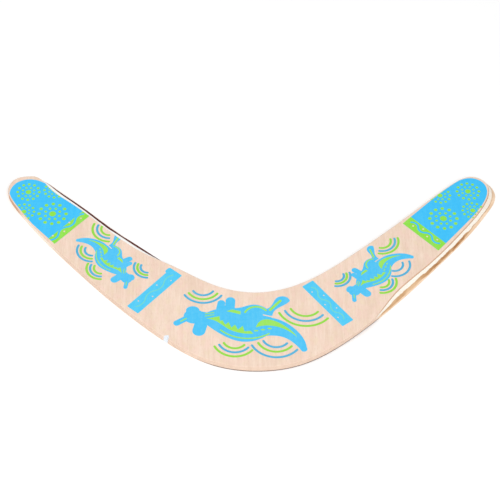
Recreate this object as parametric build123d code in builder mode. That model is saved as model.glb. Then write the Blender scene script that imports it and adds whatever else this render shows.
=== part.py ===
from build123d import *
from math import copysign, sqrt
import os

# A right-handed returning boomerang cut from three-ply board and printed on its face
# in two colours. The board lies on its back: X runs from arm to arm, Y from the elbow
# to the tips, Z up through the thickness. The origin is the centre of the outline on
# the underside.

# ---------------------------------------------------------------- board
board_thickness = 5.0
glue_thickness = 0.1
back_ply_top = 2.0
core_ply_top = 4.3
bevel_width = 5.5  # plan width of the bevel on each trailing edge
blunt_edge = 0.5  # square edge left under the bevel
round_radius = 0.8  # rounding along each leading edge

# Outline of one arm: the outer edge from the elbow to the top of the tip, and the inner
# edge from there back to the elbow. The arms are mirror images in plan. The last two
# values are how much of the full bevel the left and the right arm have at that point;
# where it is 0, the edge is rounded instead.
outer_edge = [
    (0, -101, 0, 0),
    (32, -95.6, 0, 0),
    (64, -76.8, 0, 0),
    (92, -52.4, 0, 0),
    (112, -32.6, 0, 1.1),
    (144, 2.8, 0, 0.95),
    (172.5, 36.8, 0, 1),
    (193, 66, 0, 1),
    (200, 84.5, 0, 1.15),
    (195, 96.2, 0, 0.6),
    (182, 101, 0, 0),
]
inner_edge = [
    (182, 101, 0, 0),
    (164, 91.7, 1.1, 0),
    (144, 73.6, 1.25, 0),
    (104, 36.3, 1.35, 0),
    (84, 18.8, 1.1, 0),
    (64, 2, 0.2, 0),
    (30, -19.5, 0, 0),
    (0, -26.2, 0, 0),
]

# ---------------------------------------------------------------- print
ink_thickness = 0.05
blue_layer = board_thickness  # blue is printed on the wood
green_layer = board_thickness + ink_thickness  # green is printed over the blue
band_width = {"left": 7.6, "right": 10.2}  # green band that closes each tip field
bar_size = {"left": (51.5, 11.4), "right": (50.0, 10.8)}
bar_spread = (6.0, 13.0)  # the left bar's ink ran a little wider at its far end
bar_spread_shift = 1.1  # towards one side of the bar
ripple_line = 1.9  # width of every ripple stroke
ripple_spread = 114  # degrees that a ripple arc covers
band_wave_line = 1.6
band_wave_place = {"left": 5.3, "right": 6.1}  # middle of the wave, from the band's outer line
bar_wave_line = 1.0
# Waves: length, height and number of arches; below zero, the first arch turns the other way
band_waves = {"left": (38, -3.4, 4), "right": (31, 3.5, 4)}
bar_waves = {"left": (43, -3.2, 4), "right": (40, 3.2, 5)}
# Small dots where both inks leave the wood bare: radius, and distance from the wave's middle
band_dots = (0.8, 1.8)
bar_dots = (0.55, 2.6)

# Blue field of each tip: its inner edge, round the tip, and back along its outer edge.
# Where it runs past the flat of the face, the flat trims it. The print sits about 2 mm
# off centre, so the two fields aren't mirror images.
tip_fields = {
    "left": [
        (-128, 57),
        (-143, 70),
        (-156, 80),
        (-168.5, 89.5),
        (-181.5, 95),
        (-193, 91.5),
        (-198.5, 80),
        (-194.5, 67),
        (-184, 52.5),
        (-170.5, 36.8),
        (-150, 13),
    ],
    "right": [
        (113, 39),
        (127, 54),
        (140.5, 68),
        (154, 81.8),
        (169, 95),
        (181.5, 99),
        (190, 94.5),
        (193, 85),
        (189, 71.8),
        (172.3, 48.1),
        (147.4, 18.5),
        (140, 10),
    ],
}

# The line where each tip field ends: a point on it and the direction from there to the
# tip, in degrees.
tip_ends = {"left": ((-146, 38.6), 139.2), "right": ((133.6, 33.3), 42.1)}
tip_size = (90.0, 60.0)  # length and width that hold everything past that line

# Rosettes on the tip fields: centre, radius of the outer ring of dots.
rosettes = {
    "left": [((-183.3, 80.6), 8.8), ((-162.3, 56.4), 10.9), ((-162.2, 82.8), 8.2), ((-185.6, 58.6), 8.2)],
    "right": [((177.1, 83.8), 9.0), ((154.2, 53.2), 11.0), ((153.6, 79.0), 8.2), ((179.0, 62.3), 8.2)],
}

# Bars across the arms: centre and direction in degrees.
bars = {"left": ((-78.2, -25.1), 49.3), "right": ((56.2, -37.2), -53.4)}

# Ripples: centre, direction of the middle of the arcs in degrees, radii, and the
# colours from the inside out.
BLUE = "blue"
GREEN = "green"
GREEN_OUTSIDE = (GREEN, BLUE, GREEN)
BLUE_OUTSIDE = (BLUE, GREEN, BLUE)
ripples = {
    "left": [
        ((-115.7, 40.1), 213, (6.7, 10.0, 13.6), GREEN_OUTSIDE),
        ((-128.5, 17.3), 213, (6.0, 9.3, 12.2), BLUE_OUTSIDE),
        ((-120.7, -1.8), 213, (5.8, 8.8, 11.6), GREEN_OUTSIDE),
        ((-84.2, -0.8), 212, (5.6, 8.2, 10.9), BLUE_OUTSIDE),
    ],
    "centre": [
        ((-40.4, -20.4), 269, (9.2, 13.2, 17.0), BLUE_OUTSIDE),
        ((38.8, -37.8), 262, (12.6, 17.5, 22.5), GREEN_OUTSIDE),
        ((-16.2, -73.2), 263, (9.3, 13.2, 17.2), GREEN_OUTSIDE),
        ((15.3, -70.5), 263, (10.8, 15.2, 20.6), BLUE_OUTSIDE),
    ],
    "right": [
        ((102.0, 28.5), 316, (7.8, 11.1, 13.9), GREEN_OUTSIDE),
        ((64.4, -8.8), 320, (5.9, 8.3, 11.0), BLUE_OUTSIDE),
        ((110.6, 3.5), 317, (7.2, 12.8), (BLUE, BLUE)),
        ((99.7, -14.8), 319, (6.0, 8.9, 11.8), GREEN_OUTSIDE),
    ],
}

# Kangaroos: centre of the body, size, turn in degrees, and whether it is mirrored.
kangaroos = {
    "left": ((-112.6, 6.8), 0.63, -66, True),
    "centre": ((-12.0, -56.0), 1.0, 0, False),
    "right": ((93.3, -6.3), 0.66, 58, False),
}


# ---------------------------------------------------------------- board sections
def edge_inset(height, bevel_share):
    """How far the edge stands in from the outline at a height above the underside."""
    bevel_slope = bevel_width / (board_thickness - blunt_edge)
    bevel = max(0.0, height - blunt_edge) * bevel_slope
    into_round = max(0.0, height - (board_thickness - round_radius))
    rounding = round_radius - sqrt(round_radius**2 - into_round**2)
    return bevel_share * bevel + (1 - bevel_share) * rounding


def arm_edge(stations, end_directions, side, height):
    """One edge of one arm at a height, as a smooth curve that is level at both ends."""
    flip = -1 if side == "left" else 1
    share_column = 2 if side == "left" else 3
    outline_points = [(flip * station[0], station[1]) for station in stations]
    smooth_ends = {
        "tangents": [(flip * direction, 0) for direction in end_directions],
        "tangent_scalars": [1, 1],
    }
    outline = Spline(outline_points, **smooth_ends)
    points = []
    for point, station in zip(outline_points, stations):
        inward = outline.tangent_at(outline.param_at_point(point)).rotate(Axis.Z, 90 * flip)
        inset = edge_inset(height, station[share_column])
        points.append(Vector(*point) + inward * inset)
    return Spline(points, **smooth_ends)


def board_section(height):
    """Cross-section of the board. A sketch would join its smooth edges into one."""
    edges = []
    for side in ("left", "right"):
        edges.append(arm_edge(outer_edge, (1, -1), side, height))
        edges.append(arm_edge(inner_edge, (-1, -1), side, height))
    return Plane.XY.offset(height) * Face(Wire(edges))


def ply(heights):
    """A layer of the board: one solid through its sections at these heights."""
    with BuildPart() as layer:
        loft(sections=[board_section(height) for height in heights], ruled=True, clean=False)
    return layer.part


# ---------------------------------------------------------------- printed shapes
# The flat top of the board is all that the print can reach. It is drawn at Z = 0.
flat_of_face = Location((0, 0, -board_thickness)) * board_section(board_thickness)


def kangaroo_body():
    """Kangaroo lying on its back, head to the left, drawn about the middle of its body."""
    with BuildSketch() as body:
        # trunk and haunch
        with BuildLine():
            Spline((-27, 7.5), (-12, 13.2), (1, 14.2), (10, 17), (20, 13.5), (24, 5))
            Spline((24, 5), (20, -14), (2, -20), (-15, -12.5), (-27, -2))
            Line((-27, -2), (-27, 7.5))
        make_face()
        # tail, curving away from the haunch
        with BuildLine():
            Spline((18, 4.5), (32, 1), (43.5, -9), (50, -22), (50.5, -27))
            Line((50.5, -27), (47, -29.5))
            Spline((47, -29.5), (41, -21.5), (33, -15.5), (22, -14), (16, -15))
            Line((16, -15), (18, 4.5))
        make_face()
        with Locations((48.3, -27)):
            Circle(2.6)
        # head with muzzle and two ears
        with Locations((-35.5, 5)):
            Ellipse(8, 7.2)
        with Locations((-36.5, 11)):
            Ellipse(5.2, 4.2)
        with Locations(Location((-45, 0.6), 33)):
            SlotOverall(14, 5.2)
        with Locations(Location((-30.8, -6), 76)):
            SlotOverall(17, 10)
        # neck
        with BuildLine():
            Polyline((-34, 11), (-24, 8.5), (-24, -3), (-34, -2), close=True)
        make_face()
        # two short forelegs
        with Locations(Location((-15, 14.5), 80)):
            SlotOverall(14, 6)
        with Locations(Location((-7.5, 17), 86)):
            SlotOverall(15, 7.5)
        with BuildLine():
            Polyline((-18.5, 9), (-16.5, 15.5), (-6.5, 16.5), (-3.5, 10), close=True)
        make_face()
        # hind leg that widens into a long foot
        with BuildLine():
            Spline((19, 12.5), (25.5, 18), (29.5, 24.5), (34.5, 25.5), (39, 21))
            Spline((39, 21), (35.5, 17.5), (29.5, 13.5), (25, 5))
            Line((25, 5), (19, 12.5))
        make_face()
        # bare wood between the leg and the tail
        with Locations(Location((22.4, 5.4), -16)):
            SlotOverall(10, 1.1, mode=Mode.SUBTRACT)
    return body.sketch


def kangaroo_details():
    """Markings on the kangaroo, in the same place as its body."""
    with BuildSketch() as marks:
        # pointed band along the back with teeth towards the belly
        with BuildLine():
            Spline((-26, 2.8), (-17, -0.8), (-8, -8.2), (2, -11.8), (10, -12.2))
            Polyline((10, -12.2), (8, -9.3), (3.2, -9.8), (2, -4.3), (-1.8, -8.2), (-3.8, -3.2))
            Polyline((-3.8, -3.2), (-6.8, -6), (-8.8, -0.6), (-11.4, -3.2), (-13.6, 1.2))
            Polyline((-13.6, 1.2), (-15.4, 0.4), (-15.8, 5.2), (-26, 2.8))
        make_face()
        # belly patch
        with BuildLine():
            Polyline((-10.5, 10.3), (-6, 12), (0.6, 10.2), (0.4, 7), (-5, 8.7), close=True)
        make_face()
        # curved stripe on the tail
        with BuildLine():
            Spline((12, -6), (18.5, 2), (31, -1.8), (43.5, -15.5))
            Spline((43.5, -15.5), (32, -6.5), (22, -4), (12, -6))
        make_face()
        # arc round the haunch and stripe on the leg
        SlotArc(ThreePointArc((4, 9.2), (10.5, 14.6), (20, 11.2)), 1.6)
        SlotArc(Line((23.5, 11.8), (31.5, 21)), 2.2)
        # thin stripe low on the back and dashes by the tail
        SlotArc(ThreePointArc((-15, -8.6), (2, -16.6), (22, -12)), 1.2)
        for dash in range(3):
            with Locations((12.2 + 5.2 * dash, -9.2 + 1.1 * dash)):
                SlotOverall(3.2, 1.4)
        # stripes across the neck and one on the muzzle
        for stripe in range(2):
            with Locations(Location((-23.5, 8.2 - 2.3 * stripe), 12)):
                SlotOverall(7.5, 0.8)
        with Locations(Location((-43.5, 1.4), 33)):
            SlotOverall(6, 1.0)
    return marks.sketch


def placed_kangaroo(drawing, side):
    """The drawing at its place on one part of the board."""
    centre, size, turn, mirrored = kangaroos[side]
    shape = drawing.scale(size)
    if mirrored:
        shape = shape.mirror(Plane.YZ)
    return Location(centre, turn) * shape


def ripple_arcs(side, colour):
    """All ripple strokes of one colour on one part of the board, clear of the other ink."""
    with BuildSketch() as strokes:
        for centre, direction, radii, colours in ripples[side]:
            for radius, stroke_colour in zip(radii, colours):
                if stroke_colour == colour:
                    first = direction - ripple_spread / 2
                    SlotArc(CenterArc(centre, radius, first, ripple_spread), ripple_line)
        add(placed_kangaroo(kangaroo_body(), side), mode=Mode.SUBTRACT)
        if colour == GREEN:
            add(ripple_arcs(side, BLUE), mode=Mode.SUBTRACT)
    return strokes.sketch


def wave(length, height, arches, line):
    """A wavy stroke along X, centred on the origin: arches up and down in turn."""
    arch_length = length / arches
    with BuildSketch() as stroke:
        for arch in range(arches):
            start = -length / 2 + arch * arch_length
            top = (start + arch_length / 2, height / 2 * (-1) ** arch)
            SlotArc(ThreePointArc((start, 0), top, (start + arch_length, 0)), line)
    return stroke.sketch


def wave_dots(length, height, arches, radius, offset):
    """A small dot in the hollow of each arch of such a wave."""
    offset = copysign(offset, height)
    with BuildSketch() as dots:
        for arch in range(arches):
            along = length * ((arch + 0.5) / arches - 0.5)
            with Locations((along, -offset * (-1) ** arch)):
                Circle(radius)
    return dots.sketch


def middle_of_band(side):
    """Where the wave of a tip band is, along the band."""
    return Location(*tip_ends[side]) * Location((band_wave_place[side], 0), 90)


def tip_field(side):
    """The blue field of a tip, as far as the line where it ends."""
    points = tip_fields[side]
    with BuildSketch() as field:
        with BuildLine():
            Spline(points)
            Line(points[-1], points[0])
        make_face()
        with Locations(Location(*tip_ends[side])):
            Rectangle(*tip_size, align=(Align.MIN, Align.CENTER), mode=Mode.INTERSECT)
        add(middle_of_band(side) * wave_dots(*band_waves[side], *band_dots), mode=Mode.SUBTRACT)
    return field.sketch


def tip_details(side):
    """Green on a tip: the band with its wave left blue, and the rosettes of dots."""
    with BuildSketch() as green:
        with Locations(Location(*tip_ends[side])):
            Rectangle(band_width[side], tip_size[1], align=(Align.MIN, Align.CENTER))
        add(middle_of_band(side) * wave(*band_waves[side], band_wave_line), mode=Mode.SUBTRACT)
        add(tip_field(side), mode=Mode.INTERSECT)
        for centre, radius in rosettes[side]:
            with Locations(centre):
                Circle(0.26 * radius)
                with PolarLocations(0.56 * radius, 8, start_angle=22.5):
                    Circle(0.1 * radius)
                with PolarLocations(radius, 12):
                    Circle(0.135 * radius)
    return green.sketch


def bar(side):
    """A bar across the arm, with bare dots on both sides of its wave."""
    with BuildSketch() as strip:
        with Locations(Location(*bars[side])):
            RectangleRounded(*bar_size[side], 0.8)
            if side == "left":
                with Locations(((bar_size[side][0] - bar_spread[0]) / 2, bar_spread_shift)):
                    RectangleRounded(*bar_spread, 2)
        add(Location(*bars[side]) * wave_dots(*bar_waves[side], *bar_dots), mode=Mode.SUBTRACT)
    return strip.sketch


def bar_details(side):
    """A thin wave along the bar."""
    return Location(*bars[side]) * wave(*bar_waves[side], bar_wave_line)


# ---------------------------------------------------------------- parts
def save(part, name):
    """Label a finished piece and write it to its own file."""
    part.label = name
    export_step(part, f"parts/{name}.step")


def print_film(drawing, layer, name):
    """A film of ink in the shape of the drawing, on the flat of the face."""
    with BuildPart() as film:
        with BuildSketch(Plane.XY.offset(layer)):
            add(drawing)
            add(flat_of_face, mode=Mode.INTERSECT)
        extrude(amount=ink_thickness)
    save(film.part, name)


os.makedirs("parts", exist_ok=True)

glue_tops = (back_ply_top + glue_thickness, core_ply_top + glue_thickness)
round_start = board_thickness - round_radius
upper_steps = [board_thickness - round_radius * share for share in (0.5, 0.25, 0.1, 0)]

save(ply([0, blunt_edge, back_ply_top]), "back_veneer")
save(ply([back_ply_top, glue_tops[0]]), "lower_glue_line")
save(ply([glue_tops[0], round_start, core_ply_top]), "core_veneer")
save(ply([core_ply_top, glue_tops[1]]), "upper_glue_line")
save(ply([glue_tops[1], *upper_steps]), "face_veneer")

for side in ("left", "centre", "right"):
    print_film(placed_kangaroo(kangaroo_body(), side), blue_layer, f"{side}_kangaroo_blue")
    print_film(placed_kangaroo(kangaroo_details(), side), green_layer, f"{side}_kangaroo_green")
    print_film(ripple_arcs(side, BLUE), blue_layer, f"{side}_ripples_blue")
    print_film(ripple_arcs(side, GREEN), blue_layer, f"{side}_ripples_green")

for side in ("left", "right"):
    print_film(tip_field(side), blue_layer, f"{side}_tip_blue")
    print_film(tip_details(side), green_layer, f"{side}_tip_green")
    print_film(bar(side), blue_layer, f"{side}_bar_blue")
    print_film(bar_details(side), green_layer, f"{side}_bar_green")
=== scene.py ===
import math

import bpy
import numpy as np
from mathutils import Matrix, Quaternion, Vector


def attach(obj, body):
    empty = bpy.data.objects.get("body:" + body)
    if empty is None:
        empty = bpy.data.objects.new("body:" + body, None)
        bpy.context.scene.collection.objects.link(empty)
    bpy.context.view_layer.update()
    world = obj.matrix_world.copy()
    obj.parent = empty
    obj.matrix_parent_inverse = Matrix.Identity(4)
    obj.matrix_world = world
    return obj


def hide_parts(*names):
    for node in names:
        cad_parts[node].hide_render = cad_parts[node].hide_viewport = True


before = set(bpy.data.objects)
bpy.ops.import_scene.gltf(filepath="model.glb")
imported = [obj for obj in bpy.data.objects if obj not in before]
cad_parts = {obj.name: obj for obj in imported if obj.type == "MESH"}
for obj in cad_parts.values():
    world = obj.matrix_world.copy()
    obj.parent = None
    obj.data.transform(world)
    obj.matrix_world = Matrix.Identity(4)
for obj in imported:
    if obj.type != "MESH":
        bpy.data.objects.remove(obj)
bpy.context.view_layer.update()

# Looks of a printed three-ply boomerang that lies on its back. The board is rebuilt here
# with worn, uneven edges, and the ink films keep their CAD shape. Dimensions of the board
# and its wear are in millimetres, and MM turns them into metres. Materials, floor, lights
# and camera are in metres.
MM = 0.001

# ---------------------------------------------------------------- board dimensions
BOARD_THICKNESS = 5.0
BACK_PLY_TOP = 2.0
CORE_PLY_TOP = 4.3
GLUE_THICKNESS = 0.1
BEVEL_WIDTH = 5.5
BLUNT_EDGE = 0.5
ROUND_RADIUS = 0.8
SAMPLE_SPACING = 0.8  # distance between mesh points round the outline
END_RIM = 0.4  # width of the rim round each layer's flat ends

# Outline of one arm, as in the CAD source: x, y, and how much of the full bevel the left
# and the right arm have there.
OUTER_EDGE = [
    (0, -101, 0, 0),
    (32, -95.6, 0, 0),
    (64, -76.8, 0, 0),
    (92, -52.4, 0, 0),
    (112, -32.6, 0, 1.1),
    (144, 2.8, 0, 0.95),
    (172.5, 36.8, 0, 1),
    (193, 66, 0, 1),
    (200, 84.5, 0, 1.15),
    (195, 96.2, 0, 0.6),
    (182, 101, 0, 0),
]
INNER_EDGE = [
    (182, 101, 0, 0),
    (164, 91.7, 1.1, 0),
    (144, 73.6, 1.25, 0),
    (104, 36.3, 1.35, 0),
    (84, 18.8, 1.1, 0),
    (64, 2, 0.2, 0),
    (30, -19.5, 0, 0),
    (0, -26.2, 0, 0),
]

# Wear and unevenness along the edges
BEVEL_BELLY = 0.35  # how far the sanded bevel bellies in and out of a straight line
TOP_WANDER = 0.35  # how far the upper line of the bevel wanders outwards
LOWER_WEAR = 0.3  # rounding of the lower corner
ARRIS_WEAR = 0.12  # rounding of the line where the bevel meets the face
CHIP_PLACE = (-69, -72.5)  # small chip on the left arm's leading edge
CHIP_DEPTH = 2.7
CHIP_RADIUS = 1.8
CHIP_FOOT = 0.6  # height where the chip starts
CHIP_RISE = 3.0  # height over which it reaches its full depth
TIP_WEAR_PLACE = (-183.5, 101)  # the left tip was sanded a little shorter
TIP_WEAR_DEPTH = 2.0
TIP_WEAR_RADIUS = 10.5
GLUE_GROOVE = 0.04  # how far the glue stands in from the plies


# ---------------------------------------------------------------- outline
def smooth_curve(points, start_direction, end_direction, counts):
    """A cubic spline through the points, with set ends and this count along each span."""
    points = np.array(points, float)
    spans = np.linalg.norm(np.diff(points, axis=0), axis=1)
    slopes = np.diff(points, axis=0) / spans[:, None]
    size = len(points)
    system = np.zeros((size, size))
    target = np.zeros((size, 2))
    system[0, :2] = 2 * spans[0], spans[0]
    target[0] = 6 * (slopes[0] - np.array(start_direction))
    for i in range(1, size - 1):
        system[i, i - 1 : i + 2] = spans[i - 1], 2 * (spans[i - 1] + spans[i]), spans[i]
        target[i] = 6 * (slopes[i] - slopes[i - 1])
    system[-1, -2:] = spans[-1], 2 * spans[-1]
    target[-1] = 6 * (np.array(end_direction) - slopes[-1])
    bends = np.linalg.solve(system, target)
    curve = []
    for i, count in enumerate(counts):
        span = spans[i]
        along = (np.arange(count) / count * span)[:, None]
        left = span - along
        piece = (bends[i] * left**3 + bends[i + 1] * along**3) / (6 * span)
        piece += (points[i] / span - bends[i] * span / 6) * left
        piece += (points[i + 1] / span - bends[i + 1] * span / 6) * along
        curve.append(piece)
    return np.vstack([*curve, points[-1:]])


def edge_inset(height, bevel_share):
    """How far the edge stands in from the outline at a height above the underside."""
    bevel_slope = BEVEL_WIDTH / (BOARD_THICKNESS - BLUNT_EDGE)
    bevel = max(0.0, height - BLUNT_EDGE) * bevel_slope
    into_round = max(0.0, height - (BOARD_THICKNESS - ROUND_RADIUS))
    rounding = ROUND_RADIUS - math.sqrt(max(0.0, ROUND_RADIUS**2 - into_round**2))
    return bevel_share * bevel + (1 - bevel_share) * rounding


def arm_edge(stations, end_directions, side, height):
    """One edge of one arm at a height, as in the CAD model, and the bevel share along it."""
    flip, share_column = (-1, 2) if side == "left" else (1, 3)
    places = np.array([(flip * station[0], station[1]) for station in stations], float)
    shares = [station[share_column] for station in stations]
    start, end = [(flip * direction, 0) for direction in end_directions]
    spans = np.linalg.norm(np.diff(places, axis=0), axis=1)
    counts = [max(3, round(span / SAMPLE_SPACING)) for span in spans]
    outline = smooth_curve(places, start, end, counts)
    tangents = np.gradient(outline, axis=0)
    tangents[0], tangents[-1] = start, end
    at_stations = np.cumsum([0, *counts])
    inset_points = []
    for place, share, index in zip(places, shares, at_stations):
        tangent = tangents[index] / np.linalg.norm(tangents[index])
        inward = flip * np.array([-tangent[1], tangent[0]])
        inset_points.append(place + inward * edge_inset(height, share))
    curve = smooth_curve(inset_points, start, end, counts)
    return curve, np.interp(np.arange(len(curve)), at_stations, shares)


def board_outline(height):
    """Points right round the board at a height, and the bevel share at each."""
    arms = {}
    for side in ("right", "left"):
        outer, outer_share = arm_edge(OUTER_EDGE, (1, -1), side, height)
        inner, inner_share = arm_edge(INNER_EDGE, (-1, -1), side, height)
        points = np.vstack([outer[:-1], inner])
        arms[side] = points, np.concatenate([outer_share[:-1], inner_share])
    points = np.vstack([arms["right"][0][:-1], arms["left"][0][:0:-1]])
    shares = np.concatenate([arms["right"][1][:-1], arms["left"][1][:0:-1]])
    return points, shares


def wander(along, seed, slowest=4):
    """An uneven wave along the closed outline, within -1 to 1."""
    rng = np.random.default_rng(seed)
    value = np.zeros_like(along)
    for octave in range(6):
        turns = round(slowest * 1.7**octave)
        value += np.sin(2 * math.pi * (turns * along + rng.uniform())) * 0.72**octave
    return value / np.abs(value).max()


def smoothed(values, reach):
    """Running average round the closed outline."""
    window = np.ones(2 * reach + 1) / (2 * reach + 1)
    padded = np.concatenate([values[-reach:], values, values[:reach]])
    return np.convolve(padded, window, mode="valid")


base_points, raw_shares = board_outline(0.0)
chord = np.roll(base_points, -1, axis=0) - np.roll(base_points, 1, axis=0)
chord /= np.linalg.norm(chord, axis=1)[:, None]
inward_normals = np.stack([-chord[:, 1], chord[:, 0]], axis=1)
steps = np.linalg.norm(np.roll(base_points, -1, axis=0) - base_points, axis=1)
along_outline = np.cumsum(steps) / steps.sum()
bevel_shares = smoothed(raw_shares, 6)
belly = wander(along_outline, 3)
top_sway = 0.5 + 0.5 * wander(along_outline, 8, 9)
wear = 0.6 + 0.4 * wander(along_outline, 21, 12)


def dent(place, radius):
    """A smooth bump along the outline: 1 at the place, near 0 beyond twice the radius."""
    return np.exp(-np.sum((base_points - np.array(place)) ** 2, axis=1) / radius**2)


chip = dent(CHIP_PLACE, CHIP_RADIUS)
tip_wear = TIP_WEAR_DEPTH * dent(TIP_WEAR_PLACE, TIP_WEAR_RADIUS)


def worn_outline(height):
    """The board's outline at a height, with the wear and unevenness of the real edge."""
    points, _ = board_outline(height)
    up = min(1.0, max(0.0, (height - BLUNT_EDGE) / (BOARD_THICKNESS - BLUNT_EDGE)))
    extra = bevel_shares * BEVEL_BELLY * belly * 4 * up * (1 - up)
    extra = extra - np.minimum(bevel_shares, 1) * TOP_WANDER * top_sway * up**2
    into_corner = max(0.0, 1 - height / LOWER_WEAR)
    extra = extra + LOWER_WEAR * wear * (1 - math.sqrt(max(0.0, 1 - into_corner**2)))
    near_top = max(0.0, 1 - (BOARD_THICKNESS - height) / ARRIS_WEAR)
    extra = extra + ARRIS_WEAR * bevel_shares * (1 - math.sqrt(max(0.0, 1 - near_top**2)))
    into_chip = min(1.0, max(0.0, (height - CHIP_FOOT) / CHIP_RISE))
    extra = extra + CHIP_DEPTH * chip * into_chip
    extra = extra + tip_wear
    return points + inward_normals * extra[:, None]


# ---------------------------------------------------------------- board pieces
def paint_attribute(mesh, name, values, rows):
    """Stores a value for each point of the outline: 0 on the end rims, else the same."""
    painted = np.tile(values, rows)
    painted[: len(values)] = 0
    painted[-len(values) :] = 0
    attribute = mesh.attributes.new(name, "FLOAT", "POINT")
    attribute.data.foreach_set("value", painted.astype(np.float32))


def make_layer(name, heights, groove=0.0):
    """A closed layer of the board: its edge through these heights, and flat ends."""
    rings = [(heights[0], groove + END_RIM)]
    rings += [(height, groove) for height in heights]
    rings += [(heights[-1], groove + END_RIM)]
    loops = []
    for height, inset in rings:
        plan = worn_outline(height) + inward_normals * inset
        loops.append(np.column_stack([plan, np.full(len(plan), height)]) * MM)
    count = len(loops[0])
    faces = []
    for row in range(len(rings) - 1):
        for i in range(count):
            j = (i + 1) % count
            low, high = row * count, (row + 1) * count
            faces.append((low + i, low + j, high + j, high + i))
    last = (len(rings) - 1) * count
    faces.append(tuple(range(count - 1, -1, -1)))
    faces.append(tuple(range(last, last + count)))
    mesh = bpy.data.meshes.new(name)
    mesh.from_pydata(np.vstack(loops).tolist(), [], faces)
    mesh.validate()
    smooth = [True] * (len(faces) - 2) + [False, False]
    mesh.polygons.foreach_set("use_smooth", smooth)
    mesh.set_sharp_from_angle(angle=math.radians(32))
    paint_attribute(mesh, "bevel", bevel_shares, len(rings))
    paint_attribute(mesh, "chip", chip, len(rings))
    mesh.update()
    piece = bpy.data.objects.new(name, mesh)
    bpy.context.scene.collection.objects.link(piece)
    return piece


def eased(low, high, count):
    """Heights from low to high that crowd towards the top."""
    share = np.sin(np.linspace(0, math.pi / 2, count))
    return list(low + (high - low) * share)


corner_heights = [0.0, 0.04, 0.1, 0.18, LOWER_WEAR, BLUNT_EDGE]
round_start = BOARD_THICKNESS - ROUND_RADIUS
lower_glue_top = BACK_PLY_TOP + GLUE_THICKNESS
upper_glue_top = CORE_PLY_TOP + GLUE_THICKNESS
layer_heights = {
    "back_veneer": corner_heights + [0.8, 1.1, 1.4, 1.7, BACK_PLY_TOP],
    "lower_glue_line": [BACK_PLY_TOP, lower_glue_top],
    "core_veneer": [lower_glue_top, 2.5, 2.9, 3.3, 3.7, round_start, CORE_PLY_TOP],
    "upper_glue_line": [CORE_PLY_TOP, upper_glue_top],
    "face_veneer": eased(upper_glue_top, BOARD_THICKNESS, 12),
}
layers = {}
for node, heights in layer_heights.items():
    groove = GLUE_GROOVE if node.endswith("glue_line") else 0.0
    layers[node] = make_layer(node + "_look", heights, groove)
    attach(layers[node], "root")
    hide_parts(node)


# ---------------------------------------------------------------- material helpers
# The light turns the floor white, so most of the object's colours are dimmed by this
SURFACE_SHARE = 0.9


def linear(red, green, blue, share=SURFACE_SHARE):
    """A screen colour of 0 to 255 as a share of its linear light, with an alpha of 1."""
    levels = []
    for value in (red, green, blue):
        level = value / 255
        levels.append(level / 12.92 if level <= 0.04045 else ((level + 0.055) / 1.055) ** 2.4)
    return (*[level * share for level in levels], 1.0)


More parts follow.
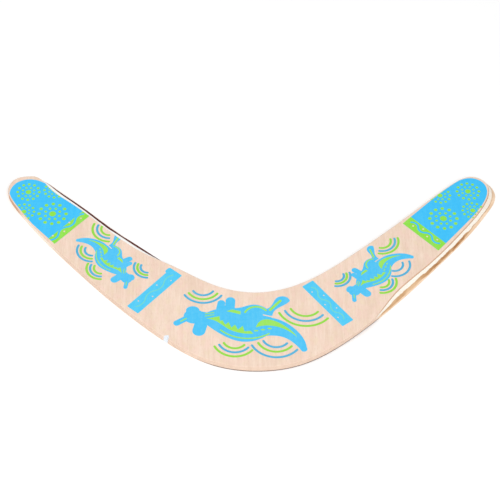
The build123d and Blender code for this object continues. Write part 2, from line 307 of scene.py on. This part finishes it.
class Nodes:
    """A short way to build one material's nodes."""

    def __init__(self, name):
        self.material = bpy.data.materials.new(name)
        self.material.use_nodes = True
        self.tree = self.material.node_tree
        self.shader = self.tree.nodes["Principled BSDF"]
        self.place = self.tree.nodes.new("ShaderNodeTexCoord").outputs["Object"]

    def link(self, source, socket):
        self.tree.links.new(source, socket)

    def put(self, socket, value):
        """Sets a socket to a number or colour, or links it."""
        if isinstance(value, bpy.types.NodeSocket):
            self.link(value, socket)
        else:
            socket.default_value = value

    def stretched(self, x, y, z):
        """Object coordinates times these factors, in repeats per metre."""
        node = self.tree.nodes.new("ShaderNodeVectorMath")
        node.operation = "MULTIPLY"
        self.link(self.place, node.inputs[0])
        node.inputs[1].default_value = (x, y, z)
        return node.outputs[0]

    def noise(self, x, y, z, detail=2.0, roughness=0.5, distortion=0.0):
        """Noise with these repeats per metre along each axis."""
        node = self.tree.nodes.new("ShaderNodeTexNoise")
        self.link(self.stretched(x, y, z), node.inputs["Vector"])
        node.inputs["Scale"].default_value = 1.0
        node.inputs["Detail"].default_value = detail
        node.inputs["Roughness"].default_value = roughness
        node.inputs["Distortion"].default_value = distortion
        return node.outputs["Fac"]

    def spread(self, value, low, high, new_low=0.0, new_high=1.0):
        """Maps a value from one range to another, held at the ends."""
        node = self.tree.nodes.new("ShaderNodeMapRange")
        node.interpolation_type = "SMOOTHSTEP"
        self.put(node.inputs["Value"], value)
        node.inputs["From Min"].default_value = low
        node.inputs["From Max"].default_value = high
        node.inputs["To Min"].default_value = new_low
        node.inputs["To Max"].default_value = new_high
        return node.outputs["Result"]

    def math(self, operation, first, second):
        """The result of one operation on two numbers."""
        node = self.tree.nodes.new("ShaderNodeMath")
        node.operation = operation
        self.put(node.inputs[0], first)
        self.put(node.inputs[1], second)
        return node.outputs[0]

    def blend(self, share, first, second):
        """A number between two numbers."""
        node = self.tree.nodes.new("ShaderNodeMix")
        self.put(node.inputs["Factor"], share)
        self.put(node.inputs[2], first)
        self.put(node.inputs[3], second)
        return node.outputs[0]

    def mix(self, share, first, second):
        """A colour between two colours."""
        node = self.tree.nodes.new("ShaderNodeMix")
        node.data_type = "RGBA"
        self.put(node.inputs["Factor"], share)
        self.put(node.inputs[6], first)
        self.put(node.inputs[7], second)
        return node.outputs[2]

    def painted(self, name):
        """A value that the mesh stores at its points."""
        node = self.tree.nodes.new("ShaderNodeAttribute")
        node.attribute_name = name
        return node.outputs["Fac"]

    def axis(self, name):
        """One object coordinate, in metres."""
        node = self.tree.nodes.new("ShaderNodeSeparateXYZ")
        self.link(self.place, node.inputs[0])
        return node.outputs[name]

    def bump(self, height, depth):
        """Raises the surface by a height of 0 to 1 times a depth in metres."""
        node = self.tree.nodes.new("ShaderNodeBump")
        node.inputs["Distance"].default_value = depth
        self.link(height, node.inputs["Height"])
        self.link(node.outputs["Normal"], self.shader.inputs["Normal"])

    def on_right_arm(self):
        """0 on the left arm and 1 on the right."""
        return self.spread(self.axis("X"), -0.01, 0.01)

    def on_bevel(self, low, high):
        """0 on a rounded edge and 1 on a bevel, changing between these bevel shares."""
        return self.spread(self.painted("bevel"), low, high)

    def finish(self, colour, roughness, specular=0.5):
        """Sets the shader and returns the material."""
        self.put(self.shader.inputs["Base Color"], colour)
        self.put(self.shader.inputs["Roughness"], roughness)
        self.put(self.shader.inputs["Specular IOR Level"], specular)
        return self.material


# ---------------------------------------------------------------- wood
def grain(nodes):
    """Streaks of basswood that run along Y: 0 in pale wood, 1 in dark streaks."""
    broad = nodes.noise(330, 16, 330, 3, 0.6, 0.5)
    fine = nodes.noise(1500, 90, 1500, 2, 0.5)
    cloud = nodes.noise(90, 60, 90, 3, 0.6)
    streaks = nodes.math("MULTIPLY", broad, 0.42)
    streaks = nodes.math("ADD", streaks, nodes.math("MULTIPLY", fine, 0.28))
    streaks = nodes.math("ADD", streaks, nodes.math("MULTIPLY", cloud, 0.3))
    return nodes.spread(streaks, 0.36, 0.64)


def edge_wood_and_shade(nodes):
    """The rounded edges: like the face but a little darker, as painted shade against the extra
    light their sides catch; paler near the left tip and tan at its very end.
    """
    # painted shade: these two colours are darker than the face's
    edge = nodes.mix(grain(nodes), linear(241, 215, 196), linear(230, 202, 181))
    near_tip = nodes.spread(nodes.axis("X"), -0.145, -0.17)
    edge = nodes.mix(near_tip, edge, linear(250, 236, 220))
    at_tip = nodes.spread(nodes.axis("X"), -0.184, -0.193)
    return nodes.mix(at_tip, edge, linear(212, 166, 132))


# Lower and upper height of the dark strip along each bevel, which is partly scorched wood and
# partly painted shade
RIGHT_STRIP = (0.0009, 0.0028)
RIGHT_STRIP_AT_TIP = (0.0018, 0.0024)
LEFT_STRIP = (0.0014, 0.0038)
LEFT_STRIP_AT_ELBOW = (0.0001, 0.0027)
LEFT_STRIP_NARROWING = 0.0011  # how far its upper line comes down towards the tip
STRIP_FADE = 0.0003  # height over which the strip fades at its lower and upper line
STRIP_UNEVENNESS = {"left": 0.0001, "right": 0.00025}  # how far its lines waver


def scorch_and_shade_strip(nodes):
    """Where the dark strip of scorched wood and painted shade is, and which arm it is on."""
    along = nodes.axis("X")
    right = nodes.spread(along, -0.01, 0.01)
    off_tip = nodes.spread(along, 0.18, 0.168)
    right_low = nodes.spread(off_tip, 0, 1, RIGHT_STRIP_AT_TIP[0], RIGHT_STRIP[0])
    right_high = nodes.spread(off_tip, 0, 1, RIGHT_STRIP_AT_TIP[1], RIGHT_STRIP[1])
    left_low = nodes.spread(along, -0.115, -0.082, LEFT_STRIP[0], LEFT_STRIP_AT_ELBOW[0])
    left_high = nodes.spread(along, -0.118, -0.104, LEFT_STRIP[1], LEFT_STRIP_AT_ELBOW[1])
    narrower = nodes.spread(along, -0.136, -0.166, 0, LEFT_STRIP_NARROWING)
    left_high = nodes.math("SUBTRACT", left_high, narrower)
    low = nodes.blend(right, left_low, right_low)
    high = nodes.blend(right, left_high, right_high)
    uneven = nodes.spread(nodes.noise(110, 110, 110, 3, 0.6), 0.3, 0.7, -1, 1)
    reach = nodes.blend(right, STRIP_UNEVENNESS["left"], STRIP_UNEVENNESS["right"])
    level = nodes.math("ADD", nodes.axis("Z"), nodes.math("MULTIPLY", uneven, reach))
    above_low = nodes.spread(nodes.math("SUBTRACT", level, low), 0, STRIP_FADE)
    below_high = nodes.spread(nodes.math("SUBTRACT", high, level), 0, STRIP_FADE)
    strip = nodes.math("MULTIPLY", above_low, below_high)
    strip = nodes.math("MULTIPLY", strip, nodes.on_bevel(0.1, 0.5))
    return strip, right


def burn_and_shade(nodes, colour):
    """Adds the dark strip of scorched wood and painted shade: brown on the right arm, and dark
    brown on the left, whose bevel faces away from the light.
    """
    strip, right = scorch_and_shade_strip(nodes)
    patch = nodes.spread(nodes.noise(62, 62, 300, 3, 0.55), 0.36, 0.62)
    darkest = nodes.spread(nodes.axis("X"), 0.13, 0.15)
    dark = nodes.mix(darkest, linear(204, 160, 116), linear(176, 122, 74))
    brown = nodes.mix(patch, linear(228, 190, 150), dark)
    near_tip = nodes.spread(nodes.axis("X"), -0.156, -0.176)
    # painted shade: the left arm's strip is darkest, as its bevel faces away from the light
    left_brown = nodes.mix(near_tip, linear(98, 38, 26), linear(198, 132, 98))
    return nodes.mix(strip, colour, nodes.mix(right, left_brown, brown))


def chipped(nodes, colour):
    """Makes the inside of the chip a pale bluish white."""
    pale_in_chip = nodes.spread(nodes.painted("chip"), 0.08, 0.45)
    return nodes.mix(pale_in_chip, colour, linear(228, 234, 242))


def face_wood():
    """Straight grain with flecks on the face, and plainer wood down its edges: darkened as painted
    shade where they are rounded, and full white as a painted highlight on the left arm's bevel.
    """
    nodes = Nodes("face_wood")
    streaks = grain(nodes)
    colour = nodes.mix(streaks, linear(247, 223, 204), linear(234, 206, 184))
    blush = nodes.spread(nodes.noise(150, 90, 150, 3, 0.6), 0.42, 0.66)
    colour = nodes.mix(nodes.math("MULTIPLY", blush, 0.4), colour, linear(246, 208, 194))
    straw = nodes.spread(nodes.noise(210, 130, 210, 2, 0.5, 0.3), 0.5, 0.7)
    colour = nodes.mix(nodes.math("MULTIPLY", straw, 0.45), colour, linear(238, 216, 184))
    pores = nodes.spread(nodes.noise(3600, 260, 3600, 1, 0.5), 0.6, 0.74)
    colour = nodes.mix(nodes.math("MULTIPLY", pores, 0.25), colour, linear(196, 158, 130))
    # the bevel cuts this veneer into a tan rim on the right arm, and on the left into a full white
    # rim, which is a painted highlight
    rim = nodes.mix(nodes.noise(180, 180, 900, 2), linear(230, 192, 162), linear(196, 148, 114))
    rim = nodes.mix(nodes.on_right_arm(), linear(255, 250, 242, 1), rim)
    below_face = nodes.spread(nodes.axis("Z"), 0.00498, 0.00485)
    # painted shade: the rounded edge is darker than the face, against the light it catches
    rounded = nodes.mix(streaks, linear(236, 209, 189), linear(225, 195, 173))
    rim = nodes.mix(nodes.on_bevel(0.1, 0.5), rounded, rim)
    colour = chipped(nodes, nodes.mix(below_face, colour, rim))
    nodes.bump(nodes.math("ADD", streaks, pores), 0.00004)
    return nodes.finish(colour, 0.62)


def core_wood():
    """White where a bevel cuts it, full white on the left arm as a painted highlight, and like the
    face on a rounded edge, with that edge's painted shade.
    """
    nodes = Nodes("core_wood")
    fibre = nodes.noise(60, 900, 900, 3, 0.6)
    pale = nodes.mix(nodes.spread(fibre, 0.3, 0.7), linear(255, 252, 243), linear(250, 240, 224))
    stain = nodes.spread(nodes.noise(45, 45, 45, 2), 0.54, 0.7, 0, 0.35)
    pale = nodes.mix(stain, pale, linear(245, 218, 198))
    # painted highlight: the left arm's cut core is full white, undimmed
    pale = nodes.mix(nodes.on_right_arm(), linear(255, 255, 252, 1), pale)
    colour = burn_and_shade(nodes, nodes.mix(nodes.on_bevel(0.05, 0.3), edge_wood_and_shade(nodes), pale))
    colour = chipped(nodes, colour)
    nodes.bump(fibre, 0.00008)
    return nodes.finish(colour, 0.75, 0.15)


def back_wood():
    """Bare underside, tan on the right arm's bevel and full white on the left arm's as a painted
    highlight, and like the face elsewhere, with the edges' painted shade.
    """
    nodes = Nodes("back_wood")
    bare = nodes.mix(grain(nodes), linear(240, 214, 190), linear(222, 190, 160))
    patch = nodes.spread(nodes.noise(90, 90, 420, 3, 0.6), 0.38, 0.62)
    cut = nodes.mix(patch, linear(250, 221, 192), linear(238, 203, 168))
    # painted highlight: the left arm's cut back veneer is full white, undimmed
    cut = nodes.mix(nodes.on_right_arm(), linear(255, 249, 244, 1), cut)
    # a dark lower corner round the elbow, partly scorched edge and partly painted contact shade
    corner = nodes.spread(nodes.axis("Z"), 0.0011, 0.0007)
    elbow = nodes.spread(nodes.axis("X"), -0.055, -0.025)
    elbow = nodes.math("MULTIPLY", elbow, nodes.spread(nodes.axis("Y"), -0.03, -0.045))
    corner = nodes.math("MULTIPLY", corner, elbow)
    edge = nodes.mix(corner, edge_wood_and_shade(nodes), linear(104, 76, 64))
    side = nodes.mix(nodes.on_bevel(0.05, 0.3), edge, burn_and_shade(nodes, cut))
    off_floor = nodes.spread(nodes.axis("Z"), 0.00001, 0.00006)
    colour = chipped(nodes, nodes.mix(off_floor, bare, side))
    nodes.bump(nodes.noise(700, 700, 2500, 3), 0.00008)
    return nodes.finish(colour, 0.7, 0.15)


def glue():
    """A line that shows brown on the right arm's bevel and is pale elsewhere."""
    nodes = Nodes("glue_line")
    patch = nodes.noise(160, 160, 900, 3, 0.6)
    dark = nodes.mix(nodes.spread(patch, 0.35, 0.65), linear(190, 146, 110), linear(150, 104, 72))
    dark = nodes.mix(nodes.on_right_arm(), linear(240, 226, 208), dark)
    pale = nodes.mix(nodes.spread(patch, 0.35, 0.65), linear(232, 204, 180), linear(220, 190, 164))
    colour = nodes.mix(nodes.on_bevel(0.05, 0.4), pale, burn_and_shade(nodes, dark))
    nodes.bump(patch, 0.00003)
    return nodes.finish(chipped(nodes, colour), 0.5, 0.15)


# ---------------------------------------------------------------- ink
WEAK_INK = 0.8  # how much of the weak colour shows where the ink is thinnest


def ink(name, strong, weak):
    """Screen ink that thins out over the grain, from a strong to a weak colour."""
    nodes = Nodes(name)
    thin = nodes.spread(grain(nodes), 0.2, 1.0)
    mottle = nodes.spread(nodes.noise(420, 420, 420, 3, 0.6), 0.3, 0.75)
    thin = nodes.math("MULTIPLY", thin, 0.5)
    cover = nodes.math("ADD", thin, nodes.math("MULTIPLY", mottle, 0.5))
    colour = nodes.mix(nodes.math("MULTIPLY", cover, WEAK_INK), strong, weak)
    nodes.bump(cover, 0.00003)
    return nodes.finish(colour, 0.48, 0.3)


# Material and slot of each layer
board_looks = {
    "face_veneer": (face_wood(), "face_veneer"),
    "core_veneer": (core_wood(), "core_veneer"),
    "back_veneer": (back_wood(), "back_veneer"),
    "lower_glue_line": (glue(), "glue"),
    "upper_glue_line": (glue(), "glue"),
}
for node, piece in layers.items():
    material, slot = board_looks[node]
    piece.data.materials.append(material)

# The same ink looks a little different on each motif
ink_materials = {
    "tip_blue": ink("ink_blue_tips", linear(52, 192, 251), linear(74, 202, 251)),
    "kangaroo_blue": ink("ink_blue_animals", linear(70, 194, 245), linear(98, 204, 246)),
    "bar_blue": ink("ink_blue_bars", linear(74, 201, 245), linear(98, 210, 246)),
    "ripples_blue": ink("ink_blue_ripples", linear(74, 174, 216), linear(104, 189, 222)),
    "tip_green": ink("ink_green_tips", linear(140, 226, 58), linear(156, 228, 98)),
    "kangaroo_green": ink("ink_green_animals", linear(152, 228, 84), linear(166, 230, 116)),
    "bar_green": ink("ink_green_bars", linear(112, 214, 206), linear(124, 216, 212)),
    "ripples_green": ink("ink_green_ripples", linear(144, 218, 62), linear(162, 220, 94)),
}
for node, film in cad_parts.items():
    motif = node.partition("_")[2]
    if motif in ink_materials:
        film.data.materials.clear()
        film.data.materials.append(ink_materials[motif])


# ---------------------------------------------------------------- floor
FLOOR_REACH = 8.0  # distance from the object to each side of the floor


def make_floor():
    """Plain white paper that the boomerang lies on."""
    mesh = bpy.data.meshes.new("floor")
    signs = [(-1, -1), (1, -1), (1, 1), (-1, 1)]
    corners = [(x * FLOOR_REACH, y * FLOOR_REACH, 0) for x, y in signs]
    mesh.from_pydata(corners, [], [(0, 1, 2, 3)])
    floor = bpy.data.objects.new("floor", mesh)
    bpy.context.scene.collection.objects.link(floor)
    nodes = Nodes("floor_paper")
    tooth = nodes.noise(900, 900, 900, 2)
    colour = nodes.mix(tooth, linear(250, 250, 250, 1), linear(253, 253, 253, 1))
    mesh.materials.append(nodes.finish(colour, 0.9, 0.1))


make_floor()


# ---------------------------------------------------------------- light
def soft_light(name, place, size, power):
    """A round soft box that faces the object."""
    light = bpy.data.lights.new(name, "AREA")
    light.shape = "DISK"
    light.size = size
    light.energy = power
    lamp = bpy.data.objects.new(name, light)
    bpy.context.scene.collection.objects.link(lamp)
    lamp.location = place
    lamp.rotation_mode = "QUATERNION"
    lamp.rotation_quaternion = (-Vector(place)).to_track_quat("-Z", "Y")


soft_light("key", (0.25, -1.4, 1.5), 1.6, 20)
soft_light("fill", (-1.1, -0.2, 1.4), 1.6, 8)

world = bpy.data.worlds.new("studio")
world.use_nodes = True
background = world.node_tree.nodes["Background"]
background.inputs["Color"].default_value = (1.0, 1.0, 1.0, 1.0)
background.inputs["Strength"].default_value = 0.68
bpy.context.scene.world = world

# ---------------------------------------------------------------- camera
CAMERA_PLACE = Vector((-0.0418, -0.9559, 1.0874))
CAMERA_TARGET = Vector((-0.0031, 0.0225, 0.0))
CAMERA_TURN = 1.915  # degrees that the camera is rolled anticlockwise
HALF_VIEW = 0.13667  # tangent of half the angle of view

lens = bpy.data.cameras.new("camera")
lens.sensor_width = 36.0
lens.lens = lens.sensor_width / 2 / HALF_VIEW
lens.clip_start = 0.05
lens.clip_end = 20.0
camera = bpy.data.objects.new("camera", lens)
bpy.context.scene.collection.objects.link(camera)
camera.rotation_mode = "QUATERNION"
camera.location = CAMERA_PLACE
aim = (CAMERA_TARGET - CAMERA_PLACE).to_track_quat("-Z", "Y")
camera.rotation_quaternion = aim @ Quaternion((0, 0, 1), math.radians(CAMERA_TURN))
bpy.context.scene.camera = camera
bpy.context.scene.view_settings.view_transform = "Standard"
